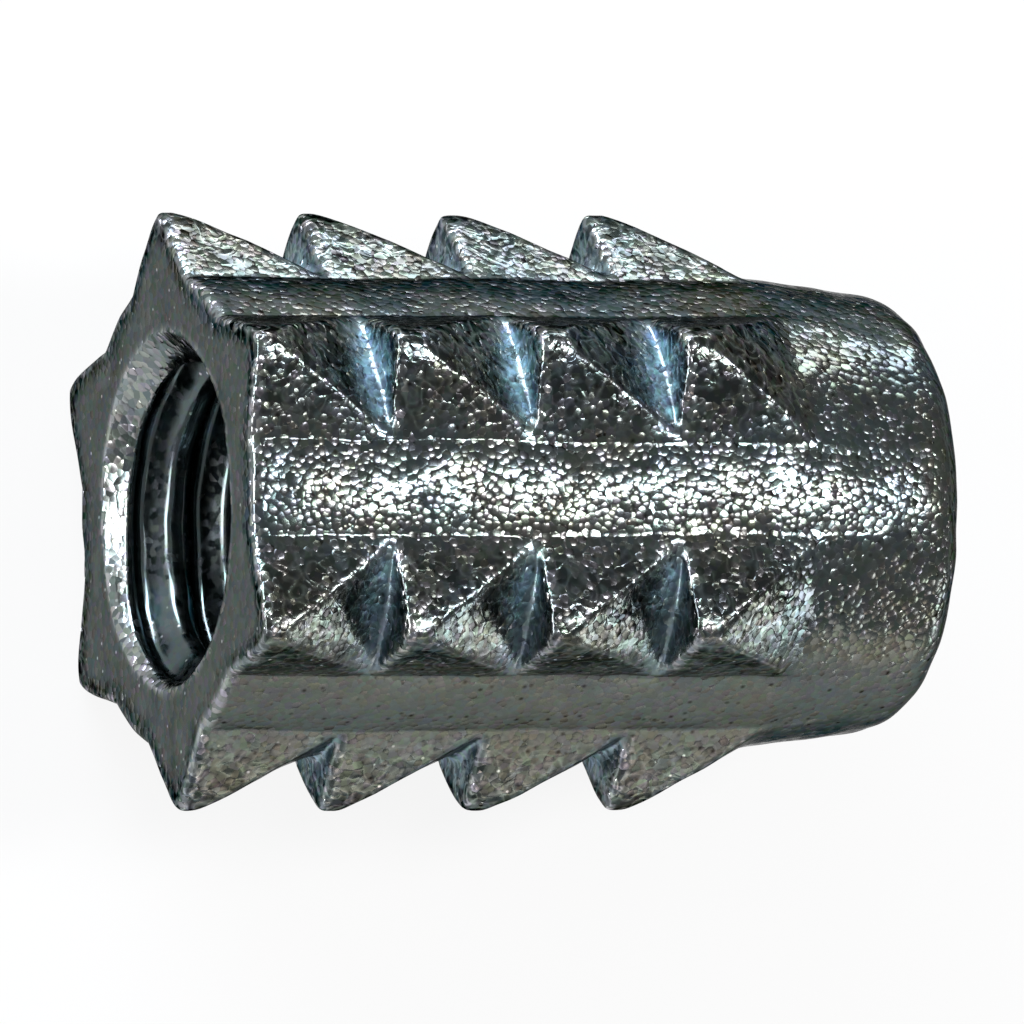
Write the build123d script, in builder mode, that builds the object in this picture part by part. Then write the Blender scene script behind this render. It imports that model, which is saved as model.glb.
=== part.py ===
from build123d import *

import os
from math import asin, cos, degrees, radians, sin, tan

# Knock-in threaded insert for wood: one die casting in zinc alloy.
# A round body carries six rows of barbs along its length. Each barb is a ridge with two slanting flanks,
# a steep face towards the head that resists pull-out, and a roof that slopes down towards the lead end.
# The insert lies on two neighbouring rows, as it comes to rest on a table: X runs along its axis from
# the head to the lead end, Z is up, and the origin is on the table under the middle of its length.
# Lengths are in millimetres and angles in degrees.

# Body
length = 13.0
head_diameter = 8.0
nose_start_diameter = 7.94
nose_end_diameter = 7.16
nose_length = 3.05
nose_round_share = 0.82

# Hole, at the minor diameter of its M6 thread
bore_diameter = 5.0
mouth_depth = 0.475
mouth_angle = 90.0
bore_exit_chamfer = 0.2

# Barbs
barb_rows = 6
barbs_in_row = 4
tip_diameter = 10.0
valley_diameter = 7.96
barb_pitch = 2.57
head_trim = 0.06
crest_length = 0.42
crest_width = 0.3
barbs_end = 10.08
ridge_angle = 84.0
tip_front_round_share = 0.35
tip_rear_round_share = 0.7

# How far the profile of the barbs runs on inside the body, to join it fully
overrun = 0.5

# The axis lies as high as the two lowest crests hold it
tip_radius = tip_diameter / 2
crest_half_angle = degrees(asin(crest_width / tip_diameter))
rest_angle = 360 / barb_rows / 2 - crest_half_angle
axis_height = tip_radius * cos(radians(rest_angle))

head_centre = (-length / 2, 0, axis_height)
insert_axis = Axis(head_centre, (1, 0, 0))

# Half sections are drawn with distance from the head face along the sketch's x, and radius along its y
half_section = Plane(origin=head_centre, x_dir=(1, 0, 0), z_dir=(0, -1, 0))
cross_section = Plane(origin=head_centre, x_dir=(0, 1, 0), z_dir=(1, 0, 0))
head_face = Plane(origin=head_centre, x_dir=(0, 1, 0), z_dir=(-1, 0, 0))

# Body outline: slight draft along the shank, then a nose that leads the insert into its hole.
# The lead end's edge is rounded over most of the wall that is left there around the hole.
nose_start = length - nose_length
lead_wall = (nose_end_diameter - bore_diameter) / 2 - bore_exit_chamfer
nose_round = nose_round_share * lead_wall
body_outline = [
    (0, 0),
    (0, head_diameter / 2),
    (nose_start, nose_start_diameter / 2),
    (length, nose_end_diameter / 2),
    (length, 0),
]
body_rounds = [0, 0, 0, nose_round, 0]

# Barb outline: for each barb a steep face, a short crest and a roof down to the next barb's foot.
# The first barb is shorter by what was trimmed off to make its steep face flush with the head.
# A tip is rounded by shares of its crest's length, or of its height over the foot if that is less.
barb_height = (tip_diameter - valley_diameter) / 2
tip_size = min(crest_length, barb_height)
tip_front_round = tip_front_round_share * tip_size
tip_rear_round = tip_rear_round_share * tip_size
foot_places = [max(0, number * barb_pitch - head_trim) for number in range(barbs_in_row)]
crest_ends = [number * barb_pitch - head_trim + crest_length for number in range(barbs_in_row)]

barb_outline = [(0, 0)]
barb_rounds = [0]
for number in range(barbs_in_row):
    if number > 0:
        barb_outline.append((foot_places[number], valley_diameter / 2))
        barb_rounds.append(0)
    barb_outline.append((foot_places[number], tip_radius))
    barb_outline.append((crest_ends[number], tip_radius))
    barb_rounds.extend([tip_front_round, tip_rear_round])

# The last roof runs out on the body's surface, and its line is carried on below that surface
last_fall = tip_radius - nose_start_diameter / 2
last_slope = last_fall / (barbs_end - crest_ends[-1])
last_end = barbs_end + overrun
barb_outline.extend([(last_end, tip_radius - last_slope * (last_end - crest_ends[-1])), (last_end, 0)])
barb_rounds.extend([0, 0])

# Ridge section: a kite with its two flanks above and its foot on the axis. The peak is where the flanks
# would meet above the crest, and the sides are where they would meet the flanks of the next rows.
half_row_angle = radians(360 / barb_rows / 2)
flank_slope = 1 / tan(radians(ridge_angle / 2))
ridge_peak = tip_radius * cos(radians(crest_half_angle)) + crest_width / 2 * flank_slope
ridge_side = ridge_peak / (cos(half_row_angle) + flank_slope * sin(half_row_angle))
side_across = ridge_side * sin(half_row_angle)
side_out = ridge_side * cos(half_row_angle)

with BuildPart() as insert:
    # Barbs: a stepped cone for the steep faces, crests and roofs, kept only inside the rows of ridges
    with BuildSketch(half_section):
        with BuildLine():
            FilletPolyline(*barb_outline, radius=barb_rounds, close=True)
        make_face()
    revolve(axis=insert_axis)
    with BuildSketch(cross_section):
        with PolarLocations(0, barb_rows):
            Polygon((ridge_peak, 0), (side_out, side_across), (0, 0), (side_out, -side_across), align=None)
    extrude(amount=length, mode=Mode.INTERSECT)

    # Body, with its rounded lead end
    with BuildSketch(half_section):
        with BuildLine():
            FilletPolyline(*body_outline, radius=body_rounds, close=True)
        make_face()
    revolve(axis=insert_axis)

    # Hole through the whole length, with a wide mouth in the head face and a broken edge at the lead end
    mouth_radius = bore_diameter / 2 + mouth_depth * tan(radians(mouth_angle / 2))
    with Locations(head_face):
        CounterSinkHole(bore_diameter / 2, mouth_radius, length, mouth_angle)
    lead_face = insert.faces().filter_by(GeomType.PLANE).sort_by(Axis.X)[-1]
    bore_exit = lead_face.edges().sort_by(SortBy.RADIUS)[0]
    chamfer(bore_exit, bore_exit_chamfer)

insert.part.label = "insert"

os.makedirs("parts", exist_ok=True)
export_step(insert.part, "parts/insert.step")
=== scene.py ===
# %% [markdown]
# # A knock-in threaded insert for wood
# The insert is one zinc casting: a round body with a threaded hole, six rows of four barbs that bite into
# the wood, and a tapered nose that leads it into its hole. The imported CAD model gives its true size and
# place, and this lesson gives it the looks: rounded cast edges, the thread and a pebbled zinc plating.

import bmesh
import bpy
import numpy as np
from mathutils import Matrix, Vector


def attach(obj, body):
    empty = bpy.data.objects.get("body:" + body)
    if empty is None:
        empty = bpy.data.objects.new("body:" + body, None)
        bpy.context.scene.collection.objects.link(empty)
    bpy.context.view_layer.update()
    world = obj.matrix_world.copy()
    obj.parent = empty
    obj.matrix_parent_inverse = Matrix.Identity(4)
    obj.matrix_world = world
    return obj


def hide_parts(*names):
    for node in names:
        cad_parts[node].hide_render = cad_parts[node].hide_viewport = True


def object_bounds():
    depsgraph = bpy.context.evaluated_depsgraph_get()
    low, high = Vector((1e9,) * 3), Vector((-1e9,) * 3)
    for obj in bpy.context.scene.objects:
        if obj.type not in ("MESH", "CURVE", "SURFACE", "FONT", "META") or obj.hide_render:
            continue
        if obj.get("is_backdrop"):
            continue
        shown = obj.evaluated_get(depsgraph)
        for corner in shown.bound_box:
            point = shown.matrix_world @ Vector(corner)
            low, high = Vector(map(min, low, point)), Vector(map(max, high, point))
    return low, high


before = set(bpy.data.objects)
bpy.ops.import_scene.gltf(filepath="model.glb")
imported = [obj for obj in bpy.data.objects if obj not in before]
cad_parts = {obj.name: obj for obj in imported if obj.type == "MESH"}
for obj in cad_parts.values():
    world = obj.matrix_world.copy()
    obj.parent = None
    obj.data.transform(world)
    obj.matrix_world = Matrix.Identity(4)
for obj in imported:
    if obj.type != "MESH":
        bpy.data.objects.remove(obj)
cad_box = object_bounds()
MM = 0.001
length, across, height = (cad_box[1] - cad_box[0]) / MM
print("CAD box, mm:", round(length, 3), round(across, 3), round(height, 3))

# %% [markdown]
# ## The outline at one angle
# Cut the insert along its axis at any angle and the cut shows one line: up the head face, along the barbs
# or the body, round the nose and down the lead face to the hole. The barbs' part of it is a saw, with a
# steep face towards the head, a short crest, and a roof that slopes to the foot of the next barb. Away
# from the middle of a row the ridge's slanting flank cuts the saw off lower, and between the rows only the
# body is left. One could build the barbs as wedges and join them with booleans, but the casting is one
# skin with soft creases. So the skin is that line, carried round the axis and changed by the angle.

# %% Sizes in millimetres
tip_radius = across / 2
axis_height = height / 2
head_radius = 4.0
nose_start = 9.95
nose_start_radius = 3.97
nose_end_radius = 3.58
nose_round = 0.72
valley_radius = 3.98
barb_rows = 6
barbs_in_row = 4
barb_pitch = 2.57
head_trim = 0.06
crest_length = 0.42
crest_width = 0.3
barbs_end = 10.08
ridge_angle = np.radians(84)
bore_radius = 2.5
mouth_depth = 0.475
exit_chamfer = 0.2
print("the hole takes up", round(2 * bore_radius / across, 2), "of the width over the barbs")

# %% Sizes that follow from them
mouth_radius = bore_radius + mouth_depth
exit_radius = bore_radius + exit_chamfer
half_sector = np.pi / barb_rows
crest_half_angle = np.arcsin(crest_width / 2 / tip_radius)
flank_slope = 1 / np.tan(ridge_angle / 2)
ridge_peak = tip_radius * np.cos(crest_half_angle) + crest_width / 2 * flank_slope
feet = np.arange(1, barbs_in_row) * barb_pitch - head_trim
crest_ends = np.arange(barbs_in_row) * barb_pitch - head_trim + crest_length
roof_ends = np.append(feet, barbs_end)
roof_lows = np.append(np.full(barbs_in_row - 1, valley_radius), nose_start_radius)
roof_slopes = (tip_radius - roof_lows) / (roof_ends - crest_ends)
print("barbs rise at", np.round(np.append(0, feet), 2), "mm from the head face")

# %% The body's outline
arc_points = 24


def body_radius(along):
    """Radius of the bare body at a distance from the head face: straight lines from the head to the start
    of the nose and on to its end."""
    return np.interp(along, [0, nose_start, length], [head_radius, nose_start_radius, nose_end_radius])


def nose_arc():
    """The rounded edge of the lead end: an arc that touches the nose's slanting line and the lead face."""
    slant = np.arctan2(nose_start_radius - nose_end_radius, length - nose_start)
    turn = np.linspace(np.pi / 2 - slant, 0, arc_points)
    middle = length - nose_round
    out = nose_end_radius + nose_round * np.tan(slant) - nose_round / np.cos(slant)
    return np.stack([middle + nose_round * np.cos(turn), out + nose_round * np.sin(turn)], axis=1)


print("nose is rounded from", np.round(nose_arc()[0], 2), "to", np.round(nose_arc()[-1], 2))

# %% The ridge's top round the axis
crest_reach = 0.36


def soft_min(a, b, reach):
    """The lower of two values, with the corner between them rounded off where they differ by less than the
    reach: the lower one, less a quarter of the reach times the square of how close they are."""
    close = np.maximum(reach - np.abs(a - b), 0) / reach
    return np.minimum(a, b) - close**2 * reach / 4


def ridge_top(angle):
    """Top of the ridge at an angle from the middle of its row: the lower of the crest's round top and the
    straight flank, which in polar form is the peak over (cosine plus slope times sine). What rounding takes
    off the crest's middle is added again."""
    flank = ridge_peak / (np.cos(angle) + flank_slope * np.sin(angle))
    lost = tip_radius - soft_min(tip_radius, ridge_peak, crest_reach)
    return soft_min(tip_radius, flank, crest_reach) + lost


print("ridge top falls from", round(ridge_top(0), 2), "to", round(ridge_top(half_sector), 2), "mm")


# %% Corners of the cut line
def cut_corners(top):
    """Corner points (along, radius) of the cut line where the ridge's top has this radius: up the head
    face, then for each barb where its roof comes down through the top, the foot and the next wall's top."""
    corners = [(0, mouth_radius), (0, max(top, head_radius))]
    for number in range(barbs_in_row):
        crossing = crest_ends[number] + (tip_radius - top) / roof_slopes[number]
        low = min(roof_lows[number], top)
        corners += [(min(crossing, roof_ends[number]), top), (roof_ends[number], low)]
        if number < barbs_in_row - 1:
            corners.append((roof_ends[number], top))
    return np.concatenate([corners, nose_arc(), [(length, exit_radius)]])


print("a cut through the crests has", len(cut_corners(tip_radius)), "corners")

# %% [markdown]
# ## Soft corners
# Molten zinc doesn't fill a die's sharp corners, and plating rounds them further, most of all in the
# creases at the barbs' feet. A Bevel modifier rounds edges too, but where a barb runs out on the body there
# is less and less room for it, and it would fold over. So the line itself is smoothed by a moving mean
# before it is carried round the axis.

# %% Rounded corners
fine_step = 0.01
edge_reach = 0.27
valley_reach = 0.46
foot_blend = 2.2


def soften(line, reach):
    """Each point of an evenly spaced line replaced by the mean of its neighbours over a reach, twice. The
    line is carried on straight past its ends, so that they stay where they are."""
    count = int(reach / fine_step) | 1
    window = np.ones(count) / count
    for _ in range(2):
        before = 2 * line[0] - line[count // 2:0:-1]
        after = 2 * line[-1] - line[-2:-2 - count // 2:-1]
        wide = np.concatenate([before, line, after])
        line = np.stack([np.convolve(wide[:, axis], window, "valid") for axis in (0, 1)], axis=1)
    return line


def round_corners(line, even, walls):
    """The line with all corners rounded alike, and rounded more at the foot of each steep wall, as far as
    the wall's height allows: near the foot a softer line takes over, and its share falls with distance."""
    rounded = soften(line, edge_reach)
    for foot, wall_top in walls:
        reach = min(valley_reach, (wall_top - foot) / 2)
        if reach > edge_reach / 2:
            share = np.clip(foot_blend - np.abs(even - foot) / reach, 0, 1)[:, None]
            rounded = share * soften(line, reach) + (1 - share) * rounded
    return rounded


print("edges are rounded over", edge_reach, "mm, and the barbs' feet over up to", valley_reach, "mm")

# %% [markdown]
# ## Rows of the grid
# A grid with even rows would cut across the barbs' edges and leave them ragged. So each stretch of the cut
# line, such as a roof or a steep wall, has its own number of rows, which lie closer at its ends, where the
# line turns. Each row then follows the same edge all the way round the insert.

# %% Rows along the cut line
head_rows, flank_rows, roof_rows, wall_rows = 14, 14, 18, 12
nose_rows, arc_rows, lead_rows = 18, 16, 8
least_stretch = 0.35


def spread(starts, counts):
    """Row places: each stretch between two starts is shared by its count of rows, closer at its ends, where
    the line turns. A half-and-half mean of even steps and cosine steps does that."""
    places = []
    for start, end, count in zip(starts[:-1], starts[1:], counts):
        even = np.arange(count) / count
        places.append(start + (end - start) * (even + (1 - np.cos(np.pi * even)) / 2) / 2)
    return np.append(np.concatenate(places), starts[-1])


def row_places(reached):
    """Row places on a cut line, from the lengths at which it reaches its corners. Between the rows of barbs
    the steep walls shrink to nothing, and there the rows keep a least stretch, so that they never lie on
    top of each other."""
    starts, counts = [0, reached[1]], [head_rows]
    for number in range(barbs_in_row):
        crossing, foot = reached[2 + 3 * number], reached[3 + 3 * number]
        wall_top = reached[4 + 3 * number] if number < barbs_in_row - 1 else foot
        pad = max(0, least_stretch - (wall_top - foot)) / 2
        starts += [min(crossing, foot - pad - least_stretch), foot - pad]
        counts += [flank_rows, roof_rows]
        if number < barbs_in_row - 1:
            starts.append(wall_top + pad)
            counts.append(wall_rows)
    starts += [reached[-1 - arc_points], reached[-2], reached[-1]]
    counts += [nose_rows, arc_rows, lead_rows]
    return spread(starts, counts)


print("a whole barb takes", flank_rows + roof_rows + wall_rows, "rows")

# %% [markdown]
# ## What the finish has to know
# On the casting the finish changes from place to place: the head face is smooth and the creases at the
# barbs' feet are matt. The creases also carry a painted pale reflection of the light that bounces between
# the barbs, and edges are painted bright, partly as wear and partly as a painted highlight. Such masks could
# be painted by hand, but then they would have to be painted again after each change of shape. Here they are
# worked out from the same cut line, as shares from 0 to 1, and stay with the mesh as attributes for the
# material to read.

# %% Shares of polish, recess and edge
wall_polish = 0.4
recess_reach = 0.7
edge_bend = 0.6
rim_width = 0.12


def polish_share(rows, head_edge, walls):
    """How smooth the skin is: 1 on the head face, which a plain face of the die formed, less in the middle
    of the steep walls, and 0 on edges and elsewhere, with a short slope between."""
    share = np.clip((head_edge - rows) / edge_reach - 1, 0, 1)
    for foot, wall_top in walls:
        inside = np.minimum(rows - foot, wall_top - rows)
        share = np.maximum(share, wall_polish * np.clip(inside / edge_reach - 1, 0, 1))
    return share


# The recess share makes the creases matt and lays a painted pale reflection in them
def recess_share(rows, walls):
    """How deep in a recess the skin lies: 1 at the foot of a steep wall, down to 0 some way up the roof
    before it and at the wall's top, and less where the wall itself is low."""
    share = np.zeros(len(rows))
    for foot, wall_top in walls:
        tall = wall_top - foot
        up_roof = 1 - (foot - rows) / recess_reach
        up_wall = 1 - (rows - foot) / max(tall, least_stretch)
        own = np.where(rows < foot, up_roof, np.where(rows < wall_top, up_wall, 0))
        share = np.maximum(share, np.clip(own, 0, 1) * min(1, tall / least_stretch))
    return share


def edge_share(rows, even, line):
    """How sharply the skin bends outward: 0 up to the nose's own bend, which is 1 over its radius, and
    rising to 1 over a further stretch of bend. The rim of the hole's mouth counts as an edge too."""
    heading = np.unwrap(np.arctan2(*np.gradient(line, axis=0).T[::-1]))
    bend = -np.gradient(heading) / (even[1] - even[0])
    share = np.clip((np.interp(rows, even, bend) - 1 / nose_round) / edge_bend, 0, 1)
    return np.maximum(share, np.clip(1 - rows / rim_width, 0, 1))


print("an edge bends by more than", round(1 / nose_round, 2), "radians a millimetre")


# %% The cut line at the grid's rows
def cut_line(top):
    """The cut line at the grid's rows, with its masks after along and radius: polish, recess, barb (height
    over the body, as a share of the least stretch), edge and cut, which is 0 outside the hole. The line is
    never lower than the body, and its corners are rounded."""
    corners = cut_corners(top)
    arc_start = corners[-1 - arc_points, 0]
    reached = np.append(0, np.cumsum(np.hypot(*np.diff(corners, axis=0).T)))
    even = np.linspace(0, reached[-1], int(reached[-1] / fine_step))
    line = np.stack([np.interp(even, reached, corners[:, axis]) for axis in (0, 1)], axis=1)
    body = (line[:, 0] > 0) & (line[:, 0] < arc_start)
    line[body, 1] = np.maximum(line[body, 1], body_radius(line[body, 0]))
    walls = [(reached[3 + 3 * number], reached[4 + 3 * number]) for number in range(barbs_in_row - 1)]
    line = round_corners(line, even, walls)
    rows = row_places(reached)
    along, radius = [np.interp(rows, even, line[:, axis]) for axis in (0, 1)]
    polish = polish_share(rows, reached[1], walls)
    recess = recess_share(rows, walls)
    barb = np.clip((radius - body_radius(along)) / least_stretch, 0, 1)
    edge = edge_share(rows, even, line)
    cut = np.zeros(len(rows))
    return np.stack([along, radius, polish, recess, barb, edge, cut], axis=1)


print("the cut through a crest has", len(cut_line(tip_radius)), "rows")

# %% [markdown]
# ## Columns round the axis
# Seen along the axis, the barbs are a star with rounded points. Even columns would need to be very close
# for the points and for the sharp feet of the flanks. So the columns are close there and wide apart between
# them. Half a row's sector is worked out, mirrored, and set six times round the axis.

# %% Columns round the axis
columns_in_half = 21
crest_turn, foot_turn = np.radians([3.5, 0.7])
crest_density, foot_density = 1.5, 6


def column_angles():
    """Angles of the columns in half a row's sector, from the crest to the middle between two rows: equal
    shares of a density, which is 1 plus two bell curves, one at the crest and one at the flank's foot."""
    fine = np.linspace(0, half_sector, 2000)
    foot = np.interp(-head_radius, -ridge_top(fine), fine)
    at_crest = crest_density * np.exp(-(fine / crest_turn) ** 2)
    at_foot = foot_density * np.exp(-((fine - foot) / foot_turn) ** 2)
    density = 1 + at_crest + at_foot
    share = np.append(0, np.cumsum((density[1:] + density[:-1]) / 2))
    return np.interp(np.linspace(0, share[-1], columns_in_half + 1), share, fine)


half_angles = column_angles()
half_lines = np.stack([cut_line(top) for top in ridge_top(half_angles)], axis=1)
sector_angles = np.concatenate([-half_angles[:0:-1], half_angles[:-1]])
sector_lines = np.concatenate([half_lines[:, :0:-1], half_lines[:, :-1]], axis=1)
angles = np.concatenate([sector_angles + 2 * half_sector * row for row in range(barb_rows)])
outer_lines = np.concatenate([sector_lines] * barb_rows, axis=1)
print("outer grid:", outer_lines.shape[0], "rows,", outer_lines.shape[1], "columns")

# %% [markdown]
# ## The threaded hole
# An M6 thread is a groove that winds round the hole and climbs one pitch a turn. A grid of flat rings would
# cut across it and leave ragged crests. So here each row of the grid climbs with the groove: after a full
# turn a row arrives where the row one pitch on began. At both ends the rows are held at the end face, where
# they lie on each other and are merged. The mouth and the exit are cones, and the hole is as wide as the
# widest of thread and cones.

# %% The thread's grid
pitch = 1.0
groove_radius = 2.92
thread_start = 0.18
mouth_polish = 0.5
mouth_wear_and_highlight = 0.7
phases = np.array([0.03, 0.22, 0.28, 0.32, 0.5, 0.535, 0.59, 0.66, 0.715, 0.75, 0.93, 0.97])
thread_corners = [0, 0.25, 0.5625, 0.6875, 1]
thread_radii = [bore_radius, bore_radius, groove_radius, groove_radius, bore_radius]


def bore_lines(angles):
    """Points (along, radius) of the hole on helical rows, with their masks: along is the row's phase plus
    the pitch times the turn, held between the two end faces; radius is that of the thread at the row's
    phase, or of the cones at the mouth and the exit where they are wider; cut is 1 in the thread and 0 on
    the cones, which are worn and carry a painted highlight, most of all at the rim."""
    turns = np.arange(-2, int(length / pitch) + 2)
    phase = (turns[:, None] + phases).ravel()
    climbed = thread_start + (angles - angles[0]) / (2 * np.pi)
    along = np.clip(pitch * (phase[:, None] + climbed), 0, length)
    own_phase = (along / pitch - climbed) % 1
    thread = np.interp(own_phase, thread_corners, thread_radii)
    cones = np.maximum(mouth_radius - along, exit_radius - (length - along))
    cut = np.clip((thread - cones) / edge_reach, 0, 1)
    rim = np.clip(1 - along / rim_width, 0, 1)
    edge = np.maximum(mouth_wear_and_highlight * (1 - cut), rim)
    polish = np.maximum(cut, mouth_polish)
    none = np.zeros_like(along)
    return np.stack([along, np.maximum(thread, cones), polish, none, none, edge, cut], axis=2)


inner_lines = bore_lines(angles)
run_out = inner_lines[-1, :, 1] - exit_radius
outer_lines[-lead_rows - 1:, :, 1] += np.linspace(0, 1, lead_rows + 1)[:, None] * run_out
print("thread grid:", inner_lines.shape[0], "rows, groove to a radius of", groove_radius, "mm")

# %% [markdown]
# ## One closed skin
# The outside and the hole are the same casting, so the mesh has no seam between them. A boolean cut could
# make the hole, but it leaves long thin faces round the thread. Here both grids have the same columns, so
# their rings at the head face and the lead face have the same points, which are merged later.


# %% Both grids as one closed skin
def on_axis(lines, turn):
    """Points in millimetres from (along, radius) at each column's angle: the head face is at the low end of
    X, the axis lies at its height over the floor, and angles run from Y towards Z."""
    along, radius = lines[..., 0], lines[..., 1]
    return np.stack([
        along - length / 2,
        radius * np.cos(turn),
        axis_height + radius * np.sin(turn),
    ], axis=-1)


def grid_faces(rows, columns, first, shift, inside):
    """Four-cornered faces of a grid that closes round its columns. The last column meets the first one
    shifted by a number of rows, which is how helical rows join. On the inside the order is turned round,
    so that all faces look away from the metal."""
    row, column = np.meshgrid(np.arange(rows - 1), np.arange(columns), indexing="ij")
    last = column == columns - 1
    near = row * columns + column
    far_row = np.where(last, row + shift, row)
    far_column = np.where(last, 0, column + 1)
    far = np.minimum(far_row, rows - 1) * columns + far_column
    near_next = (row + 1) * columns + column
    far_next = np.minimum(far_row + 1, rows - 1) * columns + far_column
    order = [near, near_next, far_next, far] if inside else [near, far, far_next, near_next]
    return first + np.stack(order, axis=-1).reshape(-1, 4)


grids = [outer_lines, inner_lines]
columns = len(angles)
points = np.concatenate([on_axis(lines, angles).reshape(-1, 3) for lines in grids])
mask_names = ["polish", "recess", "barb", "edge", "cut"]
masks = np.concatenate([lines[..., 2:].reshape(-1, len(mask_names)) for lines in grids])
faces = np.concatenate([
    grid_faces(len(outer_lines), columns, 0, 0, False),
    grid_faces(len(inner_lines), columns, len(outer_lines) * columns, len(phases), True),
])
print(len(points), "points,", len(faces), "faces before merging")

# %% [markdown]
# ## A casting is never quite even
# Zinc that has been shot into a steel die and plated has slightly wavy faces, and no two barbs are exactly
# alike. A few dozen sine waves in random directions, added as small shifts of the points, give that. The
# random numbers have a fixed seed, so the casting comes out the same each time. The points are then held
# inside the CAD model's box.


# %% Waves in the skin
def cast_waves(points, wave_length, depth, count, seed):
    """Small shifts of points: the sum of sine waves in random directions with lengths near the given one,
    each along its own random direction, scaled so that the shifts' spread is the depth."""
    rng = np.random.default_rng(seed)
    heading = rng.normal(size=(count, 3))
    heading /= np.linalg.norm(heading, axis=1, keepdims=True)
    turns = heading * (2 * np.pi / wave_length / rng.uniform(0.7, 1.4, (count, 1)))
    push = rng.normal(size=(count, 3))
    swing = np.sin(points @ turns.T + rng.uniform(0, 2 * np.pi, count))
    return depth * swing @ push / np.sqrt(count / 2)


slow_waves = cast_waves(points, wave_length=3.0, depth=0.012, count=24, seed=1)
quick_waves = cast_waves(points, wave_length=0.8, depth=0.006, count=40, seed=2)
points = points + slow_waves + quick_waves
low, high = np.array(cad_box[0]) / MM, np.array(cad_box[1]) / MM
points = np.clip(points, low, high)
print("largest shift:", round(np.abs(slow_waves + quick_waves).max(), 3), "mm")

# %% [markdown]
# ## The mesh
# The points and faces become one mesh, with the masks as attributes. Points that share a place are merged,
# which joins the two grids and takes away the faces that were squeezed flat at the ends of the thread. An
# edge that doesn't have exactly two faces would be a hole in the metal, so such edges are counted.

# %% The mesh
merge_distance = 1e-8


def merged_mesh(name, points, faces, **masks):
    """A mesh of these points, turned to metres, and faces, with points that share a place merged into one.
    Each mask becomes an attribute of the points, which the material can read."""
    mesh = bpy.data.meshes.new(name)
    mesh.from_pydata((points * MM).tolist(), [], faces.tolist())
    for mask, values in masks.items():
        mesh.attributes.new(mask, "FLOAT", "POINT").data.foreach_set("value", values.astype(np.float32))
    skin = bmesh.new()
    skin.from_mesh(mesh)
    bmesh.ops.remove_doubles(skin, verts=skin.verts, dist=merge_distance)
    bmesh.ops.dissolve_degenerate(skin, edges=skin.edges, dist=merge_distance)
    open_edges = sum(not edge.is_manifold for edge in skin.edges)
    triangles = sum(len(face.verts) - 2 for face in skin.faces)
    volume = round(skin.calc_volume() / MM**3)
    print(name, "has", triangles, "triangles,", open_edges, "open edges and", volume, "mm3")
    skin.to_mesh(mesh)
    skin.free()
    mesh.polygons.foreach_set("use_smooth", np.ones(len(mesh.polygons), bool))
    mesh.update()
    return mesh


skin = merged_mesh("zinc_insert", points, faces, **dict(zip(mask_names, masks.T)))
insert = bpy.data.objects.new("zinc_insert", skin)
bpy.context.scene.collection.objects.link(insert)
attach(insert, "root")
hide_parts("insert")

# %% [markdown]
# ## Camera
# The photograph looks down on the insert from its head end through a long lens, so that parallel edges stay
# parallel. A camera could be aimed by hand, but two turns say it exactly: how far the axis leans towards
# the eye, and how far the insert is rolled about its own axis. A third turns the picture a little.

# %% Directions in the picture
axis_lean, roll, image_turn = np.radians([21.96, 5.86, 0.17])
along_axis = np.array([1, 0, 0])
towards_top = np.array([0, -np.sin(roll), np.cos(roll)])
image_up = np.array([0, np.cos(roll), np.sin(roll)])
to_camera = -np.sin(axis_lean) * along_axis + np.cos(axis_lean) * towards_top
image_right = np.cos(axis_lean) * along_axis + np.sin(axis_lean) * towards_top
turned_right = np.cos(image_turn) * image_right + np.sin(image_turn) * image_up
turned_up = np.cos(image_turn) * image_up - np.sin(image_turn) * image_right
print("the camera looks from", np.round(to_camera, 3))

# %% Camera at the photograph's viewing angle
frame_width = 17.1
lens = 1000
frame_centre_right, frame_centre_up = 5.754, 0.008
head_centre = np.array([-length / 2, 0, axis_height])
middle_depth = np.array([length / 2, 0, 0]) @ to_camera
off_head = frame_centre_right * image_right + frame_centre_up * image_up
look_at = head_centre + off_head + middle_depth * to_camera

camera = bpy.data.objects.new("camera", bpy.data.cameras.new("camera"))
camera.data.lens = lens
camera.data.clip_start, camera.data.clip_end = 0.01, 5
distance = frame_width * lens / camera.data.sensor_width
camera_place = Matrix(np.stack([turned_right, turned_up, to_camera], axis=1).tolist()).to_4x4()
camera_place.translation = Vector((look_at + distance * to_camera) * MM)
camera.matrix_world = camera_place
bpy.context.scene.collection.objects.link(camera)
bpy.context.scene.camera = camera
print("camera", round(distance), "mm away")

# %% [markdown]
# ## Materials from nodes
# A material in Blender is a network of nodes. It can be drawn with the mouse, but then nobody can read why
# it is as it is. A script can build the same network, and says what each node is for by its name. For that
# one small function adds a node, sets it up and links it, and another turns a colour, written as six hex
# digits, into the linear numbers that Blender reckons with.


# %% Helpers for materials
def from_hex(text):
    """An sRGB hex colour as linear red, green, blue and alpha: each pair of digits over 255 is, where it is
    small, divided by 12.92, and otherwise shifted and scaled by 0.055 and raised to 2.4."""
    shares = np.array([int(text[i:i + 2], 16) for i in (1, 3, 5)]) / 255
    linear = np.where(shares <= 0.04045, shares / 12.92, ((shares + 0.055) / 1.055) ** 2.4)
    return (*linear, 1)


def new_tree(material):
    """The material's node tree, emptied."""
    material.use_nodes = True
    material.node_tree.nodes.clear()
    return material.node_tree


def add_node(tree, kind, inputs=None, **settings):
    """Adds a node with its settings. Inputs give each socket, by its name or number, a value or the output
    of another node to link. A Mix node has its share at 0, its numbers at 2 and 3 and its colours at 6
    and 7, and its mixed colour comes out at 2."""
    node = tree.nodes.new(kind)
    for name, value in settings.items():
        setattr(node, name, value)
    for socket, value in (inputs or {}).items():
        if isinstance(value, bpy.types.NodeSocket):
            tree.links.new(value, node.inputs[socket])
        else:
            node.inputs[socket].default_value = value
    return node


print("mid grey, linear:", round(from_hex("#808080")[0], 3))

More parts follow.
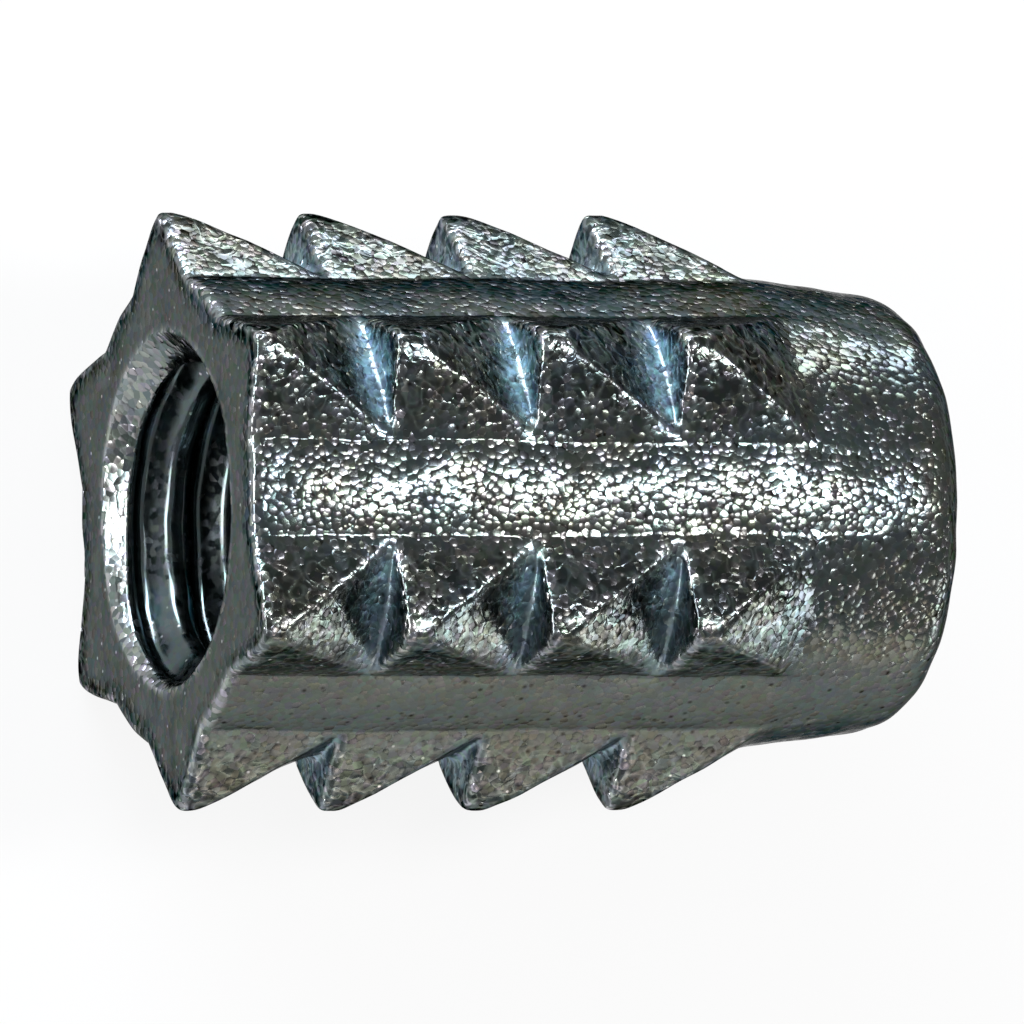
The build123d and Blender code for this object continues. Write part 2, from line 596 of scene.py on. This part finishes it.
# %% [markdown]
# ## Zinc plating on a casting
# The casting leaves its die with a skin of fine wrinkles and of pebbles about a tenth of a millimetre wide,
# and the plating follows them. Each pebble is a small round mirror that shows the lamp as one bright dot
# when it faces the right way, so the metal glitters where the lamp is reflected and is dark next to it.
# A bump map of noise gives ragged streaks instead of dots. So here the shading normal is worked out: a cell
# pattern gives the middle of each pebble, the normal leans away from it as on a dome, and every pebble as a
# whole leans a little its own way. Most pebbles are nearly flat and few stand out, which a power of a
# random number gives.

# %% Pebbles
pebble = 0.12 * MM
flattest, roundest, steepening = 0.05 / pebble, 0.40 / pebble, 3 / pebble**2

# Zinc plating is a blue-grey mirror: to the eye it is bright dots on dark metal, soft only where it is dull
plating = bpy.data.materials.new("zinc_plated_die_cast_zinc")
tree = new_tree(plating)
where = add_node(tree, "ShaderNodeTexCoord").outputs["Object"]
polish, recess, barb, edge, cut = [
    add_node(tree, "ShaderNodeAttribute", attribute_name=name).outputs["Fac"] for name in mask_names
]
cells = add_node(tree, "ShaderNodeTexVoronoi", {"Vector": where, "Scale": 1 / pebble})
middle = cells.outputs["Position"]
chance = add_node(tree, "ShaderNodeTexWhiteNoise", {"Vector": middle}, noise_dimensions="3D")
offset = add_node(tree, "ShaderNodeVectorMath", {0: where, 1: middle}, operation="SUBTRACT")
off_middle = add_node(tree, "ShaderNodeVectorMath", {
    0: offset.outputs[0], 1: offset.outputs[0],
}, operation="DOT_PRODUCT")
steeper = add_node(tree, "ShaderNodeMath", {
    0: off_middle.outputs["Value"], 1: steepening, 2: 1.0,
}, operation="MULTIPLY_ADD")
few = add_node(tree, "ShaderNodeMath", {0: chance.outputs["Value"], 1: 3.0}, operation="POWER")
bulge = add_node(tree, "ShaderNodeMapRange", {
    "Value": few.outputs[0], "To Min": flattest, "To Max": roundest,
})
curve = add_node(tree, "ShaderNodeMath", {
    0: steeper.outputs[0], 1: bulge.outputs[0],
}, operation="MULTIPLY")
dome = add_node(tree, "ShaderNodeVectorMath", {
    0: offset.outputs[0], "Scale": curve.outputs[0],
}, operation="SCALE")
print("pebbles", round(pebble / MM, 2), "mm wide")

# %% Each pebble's own lean
least_lean, most_lean = 0.12, 0.5

centred = add_node(tree, "ShaderNodeVectorMath", {
    0: chance.outputs["Color"], 1: (0.5, 0.5, 0.5),
}, operation="SUBTRACT")
rare = add_node(tree, "ShaderNodeMath", {0: chance.outputs["Value"], 1: 10.0}, operation="POWER")
lean = add_node(tree, "ShaderNodeMapRange", {
    "Value": rare.outputs[0], "To Min": least_lean, "To Max": most_lean,
})
own_lean = add_node(tree, "ShaderNodeVectorMath", {
    0: centred.outputs[0], "Scale": lean.outputs[0],
}, operation="SCALE")
print("most pebbles lean by up to", round(np.degrees(least_lean / 2), 1), "degrees each way")

# %% [markdown]
# ## Where the skin is calm
# The head face, the tapped thread and one duller side of the insert are smoother than the rest, and
# the flanks of the barbs carry wrinkles rather than pebbles. Separate materials would meet in hard lines.
# So there is one material, in which the masks and the place on the insert turn pebbles and wrinkles down.

# %% Where the skin is calm
dull_side_start, dull_side_full = -2.1 * MM, -3.3 * MM
dull_height_start, dull_height_full = 4.6 * MM, 5.9 * MM

apart = add_node(tree, "ShaderNodeSeparateXYZ", {0: where})
side = add_node(tree, "ShaderNodeMapRange", {
    "Value": apart.outputs["Y"], "From Min": dull_side_start, "From Max": dull_side_full,
})
above = add_node(tree, "ShaderNodeMapRange", {
    "Value": apart.outputs["Z"], "From Min": dull_height_start, "From Max": dull_height_full,
})
dull = add_node(tree, "ShaderNodeMath", {
    0: side.outputs[0], 1: above.outputs[0],
}, operation="MULTIPLY")
by_polish = add_node(tree, "ShaderNodeMapRange", {"Value": polish, "To Min": 1.0, "To Max": 0.12})
by_barb = add_node(tree, "ShaderNodeMapRange", {"Value": barb, "To Min": 1.0, "To Max": 0.65})
by_dull = add_node(tree, "ShaderNodeMapRange", {
    "Value": dull.outputs[0], "To Min": 1.0, "To Max": 0.4,
})
by_cut = add_node(tree, "ShaderNodeMapRange", {"Value": cut, "To Min": 1.0, "To Max": 0.1})
on_barb = add_node(tree, "ShaderNodeMapRange", {"Value": barb, "To Min": 0.2, "To Max": 1.0})
by_edge = add_node(tree, "ShaderNodeMath", {0: by_barb.outputs[0], 1: edge}, operation="MAXIMUM")
print("the dull side starts", round(dull_side_start / MM, 1), "mm from the axis")

# %% How pebbled and how wrinkled the skin is
cast = add_node(tree, "ShaderNodeMath", {
    0: by_polish.outputs[0], 1: by_cut.outputs[0],
}, operation="MULTIPLY")
unworn = add_node(tree, "ShaderNodeMath", {
    0: cast.outputs[0], 1: by_dull.outputs[0],
}, operation="MULTIPLY")
pebbled = add_node(tree, "ShaderNodeMath", {
    0: unworn.outputs[0], 1: by_edge.outputs[0],
}, operation="MULTIPLY")
wrinkled = add_node(tree, "ShaderNodeMath", {
    0: unworn.outputs[0], 1: on_barb.outputs[0],
}, operation="MULTIPLY")
print("plating so far:", len(tree.nodes), "nodes")

# %% [markdown]
# ## Wrinkles and swells
# Where the zinc set first against the cold die, the skin has wrinkles like those on cooled wax, clearest on
# the barbs' flanks. Below them the faces swell gently. The wrinkles could be modelled, but at this size
# they would need millions of faces, so they are a bump from ridged noise. The swells lean the normal too,
# and with the pebbles they give the normal that the light sees.

# %% Wrinkles and swells
wrinkle, wrinkle_depth = 0.28 * MM, 0.0075 * MM
swell_width = 0.5 * MM

swell = add_node(tree, "ShaderNodeTexNoise", {"Vector": where, "Scale": 1 / swell_width, "Detail": 1.0})
swell_lean = add_node(tree, "ShaderNodeVectorMath", {
    0: swell.outputs["Color"], 1: (0.2, 0.2, 0.2), 2: (-0.1, -0.1, -0.1),
}, operation="MULTIPLY_ADD")
wrinkles = add_node(tree, "ShaderNodeTexNoise", {
    "Vector": where, "Scale": 1 / wrinkle, "Detail": 1.0, "Roughness": 0.5, "Lacunarity": 2.0,
    "Offset": 0.9, "Gain": 1.5, "Distortion": 0.8,
}, noise_type="RIDGED_MULTIFRACTAL")
facing = add_node(tree, "ShaderNodeBump", {
    "Height": wrinkles.outputs[0], "Strength": wrinkled.outputs[0], "Distance": wrinkle_depth,
})
print("wrinkles", round(wrinkle / MM, 2), "mm wide, swells", round(swell_width / MM, 2), "mm")

# %% The normal that the light sees
pebble_tilt = add_node(tree, "ShaderNodeVectorMath", {
    0: dome.outputs[0], 1: own_lean.outputs[0],
}, operation="ADD")
tilt = add_node(tree, "ShaderNodeVectorMath", {
    0: pebble_tilt.outputs[0], 1: swell_lean.outputs[0],
}, operation="ADD")
tilt_here = add_node(tree, "ShaderNodeVectorMath", {
    0: tilt.outputs[0], "Scale": pebbled.outputs[0],
}, operation="SCALE")
turned = add_node(tree, "ShaderNodeVectorMath", {
    0: facing.outputs[0], 1: tilt_here.outputs[0],
}, operation="ADD")
normal = add_node(tree, "ShaderNodeVectorMath", {0: turned.outputs[0]}, operation="NORMALIZE")
print("plating so far:", len(tree.nodes), "nodes")

# %% [markdown]
# ## Colours of the plating
# Plated zinc carries a thin clear film that shifts from blue-grey to a warmer grey in broad stains. Its
# colour is kept much darker than polished zinc: a painted shade over the whole metal, which keeps the
# white paper's reflections dim. On top lie places of their own colour: the smooth head face, the dull side
# with painted light on it, the creases with a painted pale reflection, the edges, worn and painted bright
# as a highlight, and the cut thread. Vertex colours could hold them, but then the fine wear and painted
# highlight would need a finer mesh. So each is one layer of colour that its mask mixes in, and the edges'
# wear and painted highlight are broken up pebble by pebble.

# %% Colours of the plating
film_width = 1.4 * MM
side_light_share = 0.6

film = add_node(tree, "ShaderNodeTexNoise", {"Vector": where, "Scale": 1 / film_width, "Detail": 3.0})
film_share = add_node(tree, "ShaderNodeMapRange", {
    "Value": film.outputs[0], "From Min": 0.35, "From Max": 0.65,
})
# The film's two colours are dark: a painted shade over the whole metal, so the white paper's reflections
# stay dim
colour = add_node(tree, "ShaderNodeMix", {
    0: film_share.outputs[0], 6: from_hex("#5e686b"), 7: from_hex("#656863"),
}, data_type="RGBA")
painted_side_light = add_node(tree, "ShaderNodeMath", {0: dull.outputs[0], 1: side_light_share}, operation="MULTIPLY")
wear_and_painted_highlight = add_node(tree, "ShaderNodeMath", {
    0: edge, 1: chance.outputs["Value"],
}, operation="MULTIPLY")
layers = [
    (polish, "#777c7b"),
    # painted light: the dull side is made lighter, as light from below would make it
    (painted_side_light.outputs[0], "#6f746f"),
    # painted reflection: pale blue light bounced into the creases at the barbs' feet
    (recess, "#9cb0ba"),
    # real wear and a painted highlight on the edges and the mouth's cone
    (wear_and_painted_highlight.outputs[0], "#b0b8ba"),
    (cut, "#5c6668"),
]
for share, layer in layers:
    colour = add_node(tree, "ShaderNodeMix", {
        0: share, 6: colour.outputs[2], 7: from_hex(layer),
    }, data_type="RGBA")
print(len(layers), "layers of colour over the film")

# %% [markdown]
# ## Pits, painted glints and painted shade on the wrinkles
# The plating has dark pits where gas came out of the casting, and small bright spots are painted on it as
# glints. Two cell patterns could place them, but cell patterns are slow to work out, so one pattern gives
# both: half of its cells hold a pit, the others a smaller painted glint. The bottoms of the wrinkles are
# painted darker and their tops lighter, as painted shade and highlight, and every pebble has a slightly
# different tint.

# %% Pits and painted glints
spot_spacing = 0.23 * MM
spot_core, pit_reach, glint_reach, spot_strength = 0.07, 0.26, 0.16, 0.75

spots = add_node(tree, "ShaderNodeTexVoronoi", {"Vector": where, "Scale": 1 / spot_spacing})
# Half of the cells hold a dark pit, the other half a bright painted glint
is_painted_glint = add_node(tree, "ShaderNodeMath", {
    0: spots.outputs["Color"], 1: 0.5,
}, operation="GREATER_THAN")
reach = add_node(tree, "ShaderNodeMapRange", {
    "Value": is_painted_glint.outputs[0], "To Min": pit_reach, "To Max": glint_reach,
})
spot = add_node(tree, "ShaderNodeMapRange", {
    "Value": spots.outputs["Distance"], "From Min": spot_core, "From Max": reach.outputs[0],
    "To Min": spot_strength, "To Max": 0.0,
})
glint_place = add_node(tree, "ShaderNodeMath", {0: polish, 1: barb}, operation="MAXIMUM")
spot_place = add_node(tree, "ShaderNodeMix", {
    0: is_painted_glint.outputs[0], 2: cast.outputs[0], 3: glint_place.outputs[0],
}, data_type="FLOAT")
spot_here = add_node(tree, "ShaderNodeMath", {
    0: spot.outputs[0], 1: spot_place.outputs[0],
}, operation="MULTIPLY")
# A pit is dark brown; a painted glint is near white
spot_colour = add_node(tree, "ShaderNodeMix", {
    0: is_painted_glint.outputs[0], 6: from_hex("#2a2620"), 7: from_hex("#dce2e4"),
}, data_type="RGBA")
colour = add_node(tree, "ShaderNodeMix", {
    0: spot_here.outputs[0], 6: colour.outputs[2], 7: spot_colour.outputs[2],
}, data_type="RGBA")
print("pits and specks", round(spot_spacing / MM, 2), "mm apart")

# %% Painted shade and highlight on the wrinkles, and each pebble's tint
# Painted shade in the wrinkles' bottoms and a painted highlight on their tops
groove = add_node(tree, "ShaderNodeMapRange", {
    "Value": wrinkles.outputs[0], "From Min": 0.4, "From Max": 1.4, "To Min": 0.4, "To Max": 1.6,
})
shade = add_node(tree, "ShaderNodeMix", {
    0: wrinkled.outputs[0], 2: 1.0, 3: groove.outputs[0],
}, data_type="FLOAT")
shaded = add_node(tree, "ShaderNodeVectorMath", {
    0: colour.outputs[2], "Scale": shade.outputs[0],
}, operation="SCALE")
tint = add_node(tree, "ShaderNodeVectorMath", {
    0: chance.outputs["Color"], 1: (0.2, 0.16, 0.2), 2: (0.9, 0.92, 0.9),
}, operation="MULTIPLY_ADD")
tinted = add_node(tree, "ShaderNodeVectorMath", {
    0: shaded.outputs[0], 1: tint.outputs[0],
}, operation="MULTIPLY")
print("plating so far:", len(tree.nodes), "nodes")

# %% [markdown]
# ## Gloss
# Fresh zinc plating is glossy, and some pebbles are glossier than others. The dull side is matt, and so
# are the creases at the barbs' feet, where nothing rubs. An even gloss would be simpler, but then all dots
# would look alike. Plain metal turns white where it is seen at a slant, while rough plating stays dark
# there, and a dark tint for slanting light does that.

# %% Gloss
least_rough, most_rough, matt_rough = 0.12, 0.28, 0.42
slant_tint = (0.22, 0.22, 0.22, 1)

gloss = add_node(tree, "ShaderNodeMapRange", {
    "Value": chance.outputs["Value"], "To Min": least_rough, "To Max": most_rough,
})
matt = add_node(tree, "ShaderNodeMath", {0: dull.outputs[0], 1: recess}, operation="MAXIMUM")
rough = add_node(tree, "ShaderNodeMix", {
    0: matt.outputs[0], 2: gloss.outputs[0], 3: matt_rough,
}, data_type="FLOAT")
surface = add_node(tree, "ShaderNodeBsdfPrincipled", {
    "Base Color": tinted.outputs[0], "Metallic": 1.0, "Roughness": rough.outputs[0],
    "Specular Tint": slant_tint, "Normal": normal.outputs[0],
})
add_node(tree, "ShaderNodeOutputMaterial", {"Surface": surface.outputs[0]})
insert.data.materials.append(plating)
print(plating.name, "has", len(tree.nodes), "nodes")

# %% [markdown]
# ## A white sheet under it
# The insert lies on plain paper. Paper that only the lamps light would be grey and uneven, and brighter
# lamps would burn out the metal. So to the camera, and in the metal's reflections, most of the paper's white
# comes from the material's own glow, a painted pool of light that is full near the insert and fades away
# from it, and the rest from the lamps, which leave the soft shadow.

# %% Floor
floor_half = 200 * MM

corners = [(-1, -1), (1, -1), (1, 1), (-1, 1)]
mesh = bpy.data.meshes.new("floor")
mesh.from_pydata([(x * floor_half, y * floor_half, 0) for x, y in corners], [], [(0, 1, 2, 3)])
floor = bpy.data.objects.new("floor", mesh)
bpy.context.scene.collection.objects.link(floor)
floor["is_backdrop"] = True
print("floor", round(2 * floor_half / MM), "mm wide")

# %% Paper
white_within, grey_from = 25 * MM, 60 * MM
near_white, far_white = 0.88, 0.1

# Uncoated paper scatters light evenly, so to the eye it has no shine, only its white and the shadow
paper = bpy.data.materials.new("white_paper")
tree = new_tree(paper)
where = add_node(tree, "ShaderNodeTexCoord").outputs["Object"]
away = add_node(tree, "ShaderNodeVectorMath", {0: where}, operation="LENGTH")
# Painted pool of light: the paper's own glow is full within 25 mm of the insert and fades out by 60 mm
pool = add_node(tree, "ShaderNodeMapRange", {
    "Value": away.outputs["Value"], "From Min": white_within, "From Max": grey_from,
    "To Min": near_white, "To Max": far_white,
})
ray = add_node(tree, "ShaderNodeLightPath")
seen = add_node(tree, "ShaderNodeMath", {
    0: ray.outputs["Is Camera Ray"], 1: ray.outputs["Is Glossy Ray"],
}, operation="ADD")
shown = add_node(tree, "ShaderNodeMath", {
    0: seen.outputs[0], 1: ray.outputs["Is Transmission Ray"],
}, operation="ADD")
own_white = add_node(tree, "ShaderNodeMath", {
    0: shown.outputs[0], 1: pool.outputs[0],
}, operation="MULTIPLY")
sheet = add_node(tree, "ShaderNodeBsdfPrincipled", {"Base Color": from_hex("#c4c4c4"), "Roughness": 1.0})
glow = add_node(tree, "ShaderNodeEmission", {"Color": from_hex("#ffffff"), "Strength": 1.0})
mixed = add_node(tree, "ShaderNodeMixShader", {
    0: own_white.outputs[0], 1: sheet.outputs[0], 2: glow.outputs[0],
})
add_node(tree, "ShaderNodeOutputMaterial", {"Surface": mixed.outputs[0]})
floor.data.materials.append(paper)
print(paper.name, "has", len(tree.nodes), "nodes")

# %% [markdown]
# ## Lamps
# A mirror shows its surroundings, so one big lamp would either light all faces alike or leave most of them
# dark. Here each soft lamp stands where the faces that should shine reflect it: a round key lamp for the
# band along the middle, a long one at the back for the upper flanks, a large bluish one for the creases at
# the barbs' feet, one at each end for the nose and the hole's mouth, and a weak warm one for the side. The
# room adds an even grey light.

# %% Lamps
lamp_distance = 110
half_spread = 0.7


def soft_box(name, direction, size, brightness, colour="#ffffff", shape="RECTANGLE"):
    """A lamp in this direction from the insert, facing it: its size in millimetres, and its brightness as
    the light that a white mirror would show. Its beam is narrowed, which makes the middle of the beam
    brighter by tangent over (tangent less angle) of half the spread, so the energy is lowered by as much."""
    lamp = bpy.data.lights.new(name, "AREA")
    lamp.shape = shape
    lamp.size, lamp.size_y = size[0] * MM, size[1] * MM
    lamp.spread = 2 * half_spread
    narrowing = (np.tan(half_spread) - half_spread) / np.tan(half_spread)
    area = lamp.size * lamp.size_y * (np.pi / 4 if shape == "ELLIPSE" else 1)
    lamp.energy = brightness * np.pi * area * narrowing
    lamp.color = from_hex(colour)[:3]
    box = bpy.data.objects.new(name, lamp)
    towards = Vector(direction).normalized()
    box.location = Vector((0, 0, axis_height * MM)) + towards * lamp_distance * MM
    box.rotation_euler = towards.to_track_quat("Z", "Y").to_euler()
    box.visible_camera = False
    bpy.context.scene.collection.objects.link(box)
    print("lamp", name, round(lamp.energy * 1000, 1), "mW")


soft_box("key", (0.44, 0.06, 0.895), (25, 58), 32, shape="ELLIPSE")
soft_box("back", (0.375, 0.917, 0.13), (70, 26), 12)
soft_box("sky", (-0.42, 0.84, 0.30), (110, 60), 22, "#e4eef8")
soft_box("right", (0.884, -0.465, 0.10), (30, 30), 8.5)
soft_box("left", (-0.92, 0.02, 0.40), (80, 38), 13)
soft_box("front", (0.374, -0.907, 0.18), (60, 34), 2.4, "#fff0e0")

# %% Even light from the room
world = bpy.data.worlds.new("studio")
bpy.context.scene.world = world
world.use_nodes = True
world.node_tree.nodes["Background"].inputs["Color"].default_value = from_hex("#9a9a9a")
bpy.context.scene.view_settings.view_transform = "Standard"
print("view transform:", bpy.context.scene.view_settings.view_transform)

# %% [markdown]
# ## Size
# The dressed insert has to fit wherever the CAD model fits, so it may not reach outside the CAD model's
# box. One could check it by eye against the box, but numbers are surer: both boxes are written down.

# %% Print the visual box
low_corner, high_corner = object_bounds()
print("visual box, mm:", np.round((high_corner - low_corner) / MM, 3))
